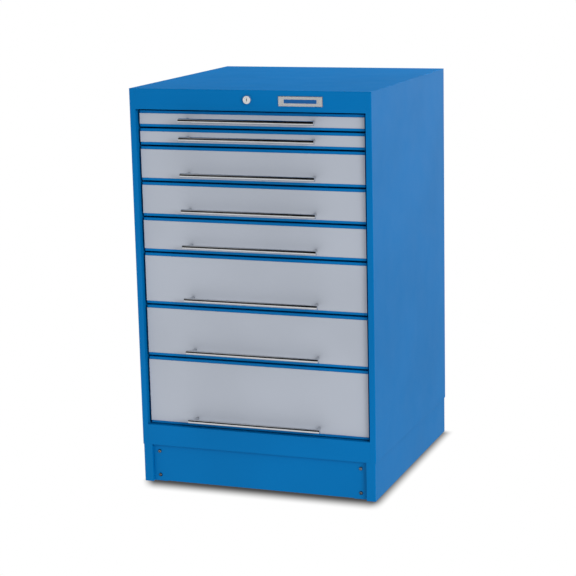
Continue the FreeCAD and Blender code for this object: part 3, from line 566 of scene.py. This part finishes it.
nylon, shader, place = new_material("roller_nylon", {"Specular IOR Level": NYLON_MIRRORING})
mottle = noise(place, MOTTLE_SCALE)
feed(shader, "Base Color", mottle.mix(NYLON_DARKER, NYLON_LIGHTER))
feed(shader, "Roughness", NYLON_SHEEN + mottle * MOTTLE_SHARE)
print("plastic:", nylon.name)

# %% [markdown]
# ## Dressing the CAD nodes
#
# The record of the part names a finish for each node, its material slot. A lookup from slot to
# material dresses all nodes at once, and no node can be forgotten.

# %% Give every CAD node its finish
FINISHES = {
    "cabinet_blue": cabinet_blue,
    "panel_grey": panel_grey,
    "handle_chrome": handle_chrome,
    "lock_chrome": lock_chrome,
    "zinc_steel": zinc_steel,
    "roller_nylon": nylon,
    "badge_silver": badge_silver,
    "badge_blue": badge_blue,
}
slot_of = {part["node"]: part["material_slot"] for part in frame["record"]["subparts"]}
for name, node in frame["nodes"].items():
    node.data.materials.clear()
    node.data.materials.append(FINISHES[slot_of[name]])
print(len(frame["nodes"]), "nodes dressed")

# %% [markdown]
# ## Turned pieces
#
# A handle bar, a post, a screw, a roller and a lock collar are all turned shapes: an outline in
# two numbers, the place along the axis and the radius there, carried round the axis. Cylinders
# with a Bevel modifier could make them too, but an outline puts every edge and every ring of
# points where the light needs it. Each function works its whole surface out as one array: row i,
# column j is outline point i turned by angle j. A solid shape starts and ends on the axis, and a
# ring's outline closes on itself.

# %% Functions for turned shapes
SMOOTH_BELOW = math.radians(30)


def swept(outline, axis, count, hexagonal=0):
    """Rows of points of an outline of (along, radius) turned about an axis.

    Point (i, j) is along_i * axis + radius_i * s_j * (cos a_j * u + sin a_j * v), where
    a_j = 2 pi j / count and u, v are the two directions square to the axis. On the first
    hexagonal rows s_j = 1 / cos((a_j mod 60 deg) - 30 deg), which gives six flats at that
    radius, and on all others s_j = 1.
    """
    along, radius = np.array(outline, float).T
    angle = np.arange(count) * 2 * np.pi / count
    axis = np.array(axis, float)
    helper = np.array((0.0, 0.0, 1.0)) if abs(axis[2]) < 0.9 else np.array((1.0, 0.0, 0.0))
    u = np.cross(axis, helper)
    v = np.cross(axis, u)
    circle = np.cos(angle)[:, None] * u + np.sin(angle)[:, None] * v
    flats = 1 / np.cos(angle % (np.pi / 3) - np.pi / 6)
    reach = np.tile(radius[:, None], (1, count))
    reach[:hexagonal] = reach[:hexagonal] * flats
    return along[:, None, None] * axis + reach[:, :, None] * circle


def row_faces(low, high, count):
    """The quads between two rows of points."""
    here = np.arange(count)
    after = (here + 1) % count
    low = low * count
    high = high * count
    return np.stack((low + here, low + after, high + after, high + here), 1).tolist()


def turned(outline, axis, centre, count, hexagonal=0):
    """A solid turned shape; its outline starts and ends on the axis."""
    body = swept(outline[1:-1], axis, count, hexagonal)
    axis = np.array(axis, float)
    poles = np.array((outline[0][0] * axis, outline[-1][0] * axis))
    points = np.vstack((body.reshape(-1, 3), poles)) + np.array(centre, float)
    rows = len(body)
    quads = []
    for row in range(rows - 1):
        quads += row_faces(row, row + 1, count)
    here = np.arange(count)
    after = (here + 1) % count
    last = (rows - 1) * count
    quads += np.stack((np.full(count, rows * count), after, here), 1).tolist()
    quads += np.stack((np.full(count, rows * count + 1), last + here, last + after), 1).tolist()
    return points, quads


def turned_ring(outline, axis, centre, count):
    """A turned shape with a hole through it; the last outline point joins the first.

    The faces look outwards when the outline runs clockwise, so that the sum over its edges of
    along_i * radius_(i+1) - along_(i+1) * radius_i is negative.
    """
    along, radius = np.array(outline, float).T
    if np.sum(along * np.roll(radius, -1) - np.roll(along, -1) * radius) > 0:
        outline = outline[::-1]
    body = swept(outline, axis, count)
    quads = []
    for row in range(len(outline)):
        quads += row_faces(row, (row + 1) % len(outline), count)
    return body.reshape(-1, 3) + np.array(centre, float), quads


def fillet(centre_along, centre_radius, radius, start, end, steps):
    """Outline points on an arc; the angle is 0 along the axis and 90 degrees outwards."""
    angle = np.radians(np.linspace(start, end, steps))
    places = centre_along + radius * np.cos(angle)
    radii = centre_radius + radius * np.sin(angle)
    return list(zip(places.tolist(), radii.tolist()))


def other_half(outline):
    """The same points mirrored to the other sign of along, in reverse, so that the halves join."""
    return [(-along, radius) for along, radius in reversed(outline)]


def new_piece(name, shapes, finish, body):
    """One object from several (points, faces) pairs, shaded smooth where faces meet at a flat angle."""
    points, faces, total = [], [], 0
    for shape_points, shape_faces in shapes:
        points.append(shape_points)
        faces += [[index + total for index in face] for face in shape_faces]
        total += len(shape_points)
    mesh = bpy.data.meshes.new(name)
    mesh.from_pydata(np.vstack(points).tolist(), [], faces)
    mesh.validate()
    mesh.shade_smooth()
    mesh.set_sharp_from_angle(angle=SMOOTH_BELOW)
    mesh.materials.append(finish)
    piece = bpy.data.objects.new(name, mesh)
    scene.collection.objects.link(piece)
    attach(piece, body)
    return piece


print("turned shapes ready")

# %% [markdown]
# ## The handles
#
# Each handle is a chromed bar 12 mm thick with square cut ends whose edge is just broken, on
# two short posts. A post starts inside the bar, and stands on the face panel with a slightly
# wider foot. The bar needs a true round surface, because the photograph shows the dark studio as
# one long straight band along it. Smooth shading blends the direction of neighbouring faces, so a
# second ring of points just inside each edge holds the long faces straight.

# %% Make the handles
MM = 0.001
DRAWERS = range(1, 9)
HOLD = 0.2 * MM
BAR_EDGE = 0.6 * MM
EDGE_ROUND = 0.3
BAR_SIDES = 48
POST_RADIUS = 4.5 * MM
POST_INSET = 13.0 * MM
POST_SIDES = 32
POST_SUNK = 0.5
FOOT_WIDER = 0.5 * MM
FOOT_RIM = 1.4 * MM
FOOT_SLOPE = 2.2 * MM

for number in DRAWERS:
    name = f"drawer_handle_{number}"
    low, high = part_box(name)
    bar_radius = (high.z - low.z) / 2
    middle = Vector(((low.x + high.x) / 2, low.y + bar_radius, (low.z + high.z) / 2))
    reach = (high.x - low.x) / 2
    broken = BAR_EDGE * EDGE_ROUND
    right_half = [(reach - BAR_EDGE - HOLD, bar_radius), (reach - BAR_EDGE, bar_radius)]
    right_half += [(reach - broken, bar_radius - broken), (reach, bar_radius - BAR_EDGE), (reach, 0.0)]
    shapes = [turned(other_half(right_half) + right_half, (1, 0, 0), middle, BAR_SIDES)]
    inside = bar_radius * POST_SUNK
    foot = high.y - middle.y
    post_outline = [(inside, 0.0), (inside, POST_RADIUS)]
    post_outline += [(foot - FOOT_SLOPE - HOLD, POST_RADIUS), (foot - FOOT_SLOPE, POST_RADIUS)]
    post_outline += [(foot - FOOT_RIM, POST_RADIUS + FOOT_WIDER), (foot, POST_RADIUS + FOOT_WIDER)]
    post_outline += [(foot, 0.0)]
    for side in (-1, 1):
        place = middle + Vector((side * (reach - POST_INSET), 0, 0))
        shapes.append(turned(post_outline, (0, 1, 0), place, POST_SIDES))
    bar = new_piece(f"handle_{number}", shapes, handle_chrome, f"drawer_{number}")
    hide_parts(name)
print(len(DRAWERS), "handles")

# %% [markdown]
# ## The lock's collar
#
# The collar and the barrel of the lock are one turned ring round the plug. Its rim is rounded,
# because a sharp one would show as a black line where the real one shows a small highlight. The
# plug stays the CAD node, so that its keyhole turns with the key, and the collar's bore is a
# running gap wider than the plug.

# %% Make the lock's collar
RIM = 0.5 * MM
COLLAR_RIM_STEPS = 6
BORE_EDGE = 0.2 * MM
PLUG_GAP = 0.05 * MM
BARREL_RADIUS = 9.5 * MM
COLLAR_SIDES = 64

low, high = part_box("lock_cylinder")
collar_radius = (high.x - low.x) / 2
lock_centre = Vector(((low.x + high.x) / 2, FRONT_PLANE_Y, (low.z + high.z) / 2))
collar_front = low.y - FRONT_PLANE_Y
barrel_end = high.y - FRONT_PLANE_Y
plug_low, plug_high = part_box("lock_plug")
bore_radius = (plug_high.x - plug_low.x) / 2 + PLUG_GAP
outline = [(collar_front, bore_radius + BORE_EDGE), (collar_front + BORE_EDGE, bore_radius)]
outline += [(barrel_end, bore_radius), (barrel_end, BARREL_RADIUS)]
outline += [(0.0, BARREL_RADIUS), (0.0, collar_radius)]
outline += fillet(collar_front + RIM, collar_radius - RIM, RIM, 90, 180, COLLAR_RIM_STEPS)
outline += [(collar_front, collar_radius - RIM - HOLD)]
shapes = [turned_ring(outline, (0, 1, 0), lock_centre, COLLAR_SIDES)]
collar = new_piece("lock_collar", shapes, lock_chrome, "housing")
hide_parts("lock_cylinder")
print("collar", round(2 * collar_radius / MM, 2), "mm across")

# %% [markdown]
# ## The kick panel's screws
#
# The kick panel is held by four button head screws: a low dome with a hexagon socket. The dome is
# a quarter of an ellipse from the flat round the socket to the rim of the head. The first rows of
# the outline are turned with six flats and the others round, which makes the socket without
# cutting one mesh out of another.

# %% Make the kick panel's screws
HEAD_RADIUS = 5.25 * MM
HEAD_HEIGHT = 3.3 * MM
SOCKET = 2.0 * MM
SOCKET_DEEP = 2.0 * MM
SHANK_RADIUS = 3.0 * MM
DOME_FLAT = 2.9 * MM
DOME_EDGE = 0.5 * MM
DOME_STEPS = 7
HEAD_SIDES = 48

low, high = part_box("kick_panel_screws")
shank_end = high.y - low.y - HEAD_HEIGHT
socket_end = SOCKET_DEEP - HEAD_HEIGHT
angle = np.radians(np.linspace(0, 90, DOME_STEPS))
dome_along = -DOME_EDGE - (HEAD_HEIGHT - DOME_EDGE) * np.cos(angle)
dome_radius = DOME_FLAT + (HEAD_RADIUS - DOME_FLAT) * np.sin(angle)
outline = [(socket_end, 0.0), (socket_end, SOCKET), (-HEAD_HEIGHT, SOCKET)]
outline += [(-HEAD_HEIGHT, DOME_FLAT - HOLD)]
outline += np.stack((dome_along, dome_radius), 1).tolist()
outline += [(0.0, HEAD_RADIUS), (0.0, SHANK_RADIUS), (shank_end, SHANK_RADIUS), (shank_end, 0.0)]
shapes = []
for x in (low.x + HEAD_RADIUS, high.x - HEAD_RADIUS):
    for z in (low.z + HEAD_RADIUS, high.z - HEAD_RADIUS):
        centre = (x, low.y + HEAD_HEIGHT, z)
        shapes.append(turned(outline, (0, 1, 0), centre, HEAD_SIDES, hexagonal=2))
screws = new_piece("kick_screws", shapes, screw_steel_painted_shade, "housing")
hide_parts("kick_panel_screws")
print(len(shapes), "screws")

# %% [markdown]
# ## Rollers
#
# A moulded roller has rounded rims and a shallow dish in each face, so that only its hub rubs on
# what stands beside it. Its bore, width and diameter are those of the CAD roller. Half of the
# outline is written down, from the bore to the rim of one face, and mirrored for the other face.

# %% Make the rollers
ROLLER_WIDTH = 10.0 * MM
ROLLER_BORE = 4.05 * MM
ROLLER_SIDES = 48
HUB = 6.2 * MM
HUB_SLOPE = 0.4 * MM
DISH = 0.8 * MM
DISH_TO_RIM = 2.2 * MM
FACE_TO_RIM = 1.6 * MM
RIM_ROUND = 0.8 * MM
RIM_STEPS = 5

for number in DRAWERS:
    for end in ("front", "rear"):
        name = f"{end}_rollers_{number}"
        low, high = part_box(name)
        radius = (high.z - low.z) / 2
        half = ROLLER_WIDTH / 2
        face = [(half, ROLLER_BORE), (half, HUB), (half - DISH, HUB + HUB_SLOPE)]
        face += [(half - DISH, radius - DISH_TO_RIM), (half, radius - FACE_TO_RIM)]
        face += [(half, radius - RIM_ROUND - HOLD)]
        face += fillet(half - RIM_ROUND, radius - RIM_ROUND, RIM_ROUND, 0, 90, RIM_STEPS)
        face += [(half - RIM_ROUND - HOLD, radius)]
        outline = face + other_half(face)
        shapes = []
        for x in (low.x + half, high.x - half):
            centre = (x, (low.y + high.y) / 2, (low.z + high.z) / 2)
            shapes.append(turned_ring(outline, (1, 0, 0), centre, ROLLER_SIDES))
        pair = new_piece(f"{end}_roller_pair_{number}", shapes, nylon, name)
        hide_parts(name)
print(2 * len(DRAWERS), "pairs of rollers")
